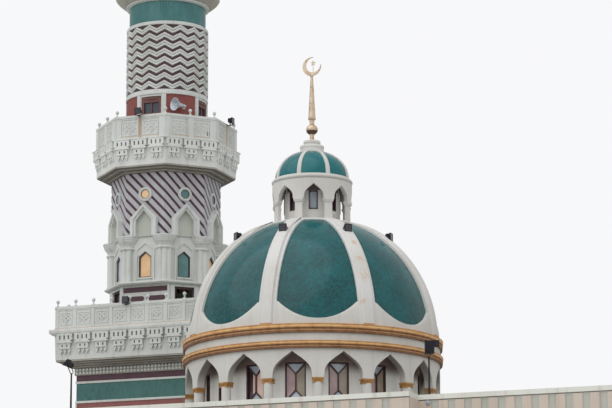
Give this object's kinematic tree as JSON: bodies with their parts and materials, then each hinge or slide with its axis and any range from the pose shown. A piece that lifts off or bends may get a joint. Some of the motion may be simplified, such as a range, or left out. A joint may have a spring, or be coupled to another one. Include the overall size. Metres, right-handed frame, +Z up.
{
  "type": "mosque building",
  "caption": "Mosque building: a domed prayer hall with an arcaded drum and a columned lantern, and a minaret with balconies behind its left corner.",
  "frame": {"origin": "on the dome axis at ground level, on the underside of the floor slab", "axes": "+Z up, the entrance front faces -Y, +X to the right of a person facing the front"},
  "size_m": [29.487, 26.777, 39.2539],
  "materials": {
    "beige_plaster": "painted plaster, matt",
    "brick_red_plaster": "brick-red facing with maroon and white bands, matt",
    "dark_metal": "near-black paint, satin",
    "floor_stone": "honed stone",
    "gold_paint": "gold paint, satin",
    "green_tile": "small glazed mosaic tiles, satin",
    "grey_metal": "grey paint, satin",
    "striped_plaster": "grey plaster with maroon diagonal stripes, matt",
    "white_plaster": "painted plaster, matt, weather stained",
    "window_glass": "tinted glass"
  },
  "bodies": {
    "root": {"back_glass": "window_glass", "back_wall": "beige_plaster", "call_stage": "brick_red_plaster", "call_stage_glass": "window_glass", "chevron_shaft": "white_plaster", "crescent_and_star": "gold_paint", "dome_finial": "gold_paint", "dome_ribs": "white_plaster", "dome_shell": "green_tile", "drum_arcade": "white_plaster", "drum_glass": "window_glass", "drum_plinth": "white_plaster", "drum_wall": "white_plaster", "floodlight_pole_left": "dark_metal", "floodlight_pole_right": "dark_metal", "front_glass_left": "window_glass", "front_glass_right": "window_glass", "front_wall_left": "beige_plaster", "front_wall_right": "beige_plaster", "gallery_stage": "brick_red_plaster", "hall_floor": "floor_stone", "lantern_arcade": "white_plaster", "lantern_core": "white_plaster", "lantern_cornice": "white_plaster", "lantern_dome": "green_tile", "lantern_dome_ribs": "white_plaster", "lantern_glass": "window_glass", "left_glass": "window_glass", "left_wall": "beige_plaster", "loudspeaker_1": "grey_metal", "loudspeaker_2": "grey_metal", "lower_balcony": "white_plaster", "lower_gold_ring": "gold_paint", "lower_parapet": "white_plaster", "minaret_glass": "window_glass", "minaret_shaft": "brick_red_plaster", "minaret_tile_band": "green_tile", "minaret_tile_collar": "green_tile", "portal_wall": "beige_plaster", "right_glass": "window_glass", "right_wall": "beige_plaster", "ring_band": "white_plaster", "roof_slab": "white_plaster", "striped_shaft": "striped_plaster", "top_balcony": "white_plaster", "top_crescent": "gold_paint", "top_dome": "green_tile", "top_dome_ribs": "white_plaster", "top_finial": "gold_paint", "top_lantern": "white_plaster", "upper_balcony": "white_plaster", "upper_gold_ring": "gold_paint", "upper_parapet": "white_plaster", "window_stage": "white_plaster"}
  },
  "joints": []
}
